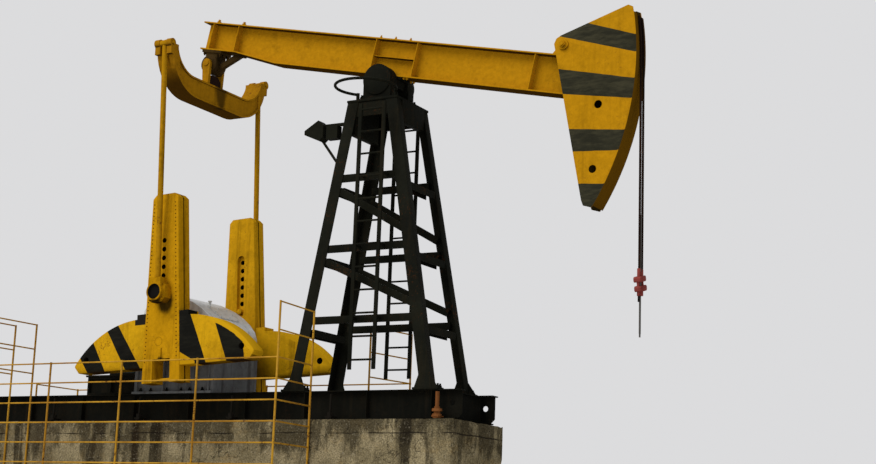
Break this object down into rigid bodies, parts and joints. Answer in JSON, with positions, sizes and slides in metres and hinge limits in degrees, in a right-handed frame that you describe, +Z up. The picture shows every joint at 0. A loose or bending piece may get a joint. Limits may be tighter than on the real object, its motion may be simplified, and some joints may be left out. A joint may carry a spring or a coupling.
{
  "type": "pumpjack",
  "caption": "Beam pumping unit: walking beam with a curved head on a lattice tower, driven by counterweighted cranks, on a skid and concrete plinth with a pipe fence.",
  "frame": {"origin": "on the ground, at the underside of the plinth, straight under the saddle bearing", "axes": "+X towards the well, along the beam; +Y across the unit, away from the pictured side; +Z up"},
  "size_m": [13.3793, 4.134, 9.2334],
  "materials": {
    "concrete": "stained cast concrete",
    "black_paint": "weathered black paint",
    "rusty_iron": "rusted",
    "grey_paint": "dull grey paint",
    "silver_paint": "aluminium paint",
    "motor_paint": "dull paint",
    "red_paint": "worn red paint",
    "fence_paint": "rusty yellow paint",
    "bare_steel": "oiled steel",
    "wire_rope": "greased wire rope",
    "yellow_iron": "worn yellow paint on cast iron",
    "yellow_paint": "worn yellow paint"
  },
  "bodies": {
    "base": {"plinth": "concrete", "near_skid_beam": "black_paint", "far_skid_beam": "black_paint", "skid_cross_members": "black_paint", "anchor_studs": "rusty_iron", "drive_pedestal": "black_paint", "gearbox_housing": "grey_paint", "gearbox_cover": "silver_paint", "motor": "motor_paint", "motor_stand": "black_paint", "belt_guard": "red_paint", "near_tower_side": "black_paint", "far_tower_side": "black_paint", "front_bracing": "black_paint", "rear_bracing": "black_paint", "tower_head": "black_paint", "near_ladder": "black_paint", "far_ladder": "black_paint", "guard_hoop": "black_paint", "floodlight": "black_paint", "saddle_bearings": "black_paint", "near_fence": "fence_paint", "far_fence": "fence_paint", "fence_ends": "fence_paint"},
    "cranks": {"crank_shaft": "bare_steel", "near_crank": "yellow_iron", "far_crank": "yellow_iron", "near_front_weight": "yellow_iron", "near_rear_weight": "yellow_iron", "far_front_weight": "yellow_iron", "far_rear_weight": "yellow_iron"},
    "beam": {"walking_beam": "yellow_paint", "horsehead": "yellow_paint", "head_pin": "yellow_paint", "saddle_shaft": "black_paint", "tail_bearing": "yellow_paint", "bridle_wrap": "wire_rope"},
    "pitmans": {"equalizer": "yellow_paint", "near_pitman": "yellow_paint", "far_pitman": "yellow_paint", "near_wrist_bearing": "yellow_paint", "far_wrist_bearing": "yellow_paint"},
    "hanger": {"bridle_ropes": "wire_rope", "carrier_bar": "red_paint", "polished_rod": "bare_steel"}
  },
  "joints": [
    {"name": "crank_turn", "type": "hinge", "parent": "base", "child": "cranks", "pos_m": [-3.498, 0, 3.174], "axis": [0, 1, 0], "range_deg": [0, 178.86]},
    {"name": "beam_rock", "type": "hinge", "parent": "base", "child": "beam", "pos_m": [0, 0, 7.6], "axis": [0, -1, 0], "range_deg": [0, 24.77]},
    {"name": "equalizer_swing", "type": "hinge", "parent": "beam", "child": "pitmans", "pos_m": [-3.75539, 0, 8.40166], "axis": [0, 1, 0], "range_deg": [0, 23.62]},
    {"name": "rod_stroke", "type": "slide", "parent": "base", "child": "hanger", "axis": [0, 0, 1], "range_m": [0, 1.97741], "deforming": ["bridle_ropes"]}
  ],
  "couplings": [
    {"joint": "beam_rock", "follows": "crank_turn", "ratio": 0.13841},
    {"joint": "equalizer_swing", "follows": "crank_turn", "ratio": 0.13203},
    {"joint": "rod_stroke", "follows": "crank_turn", "m_per_rad": 0.63313}
  ]
}
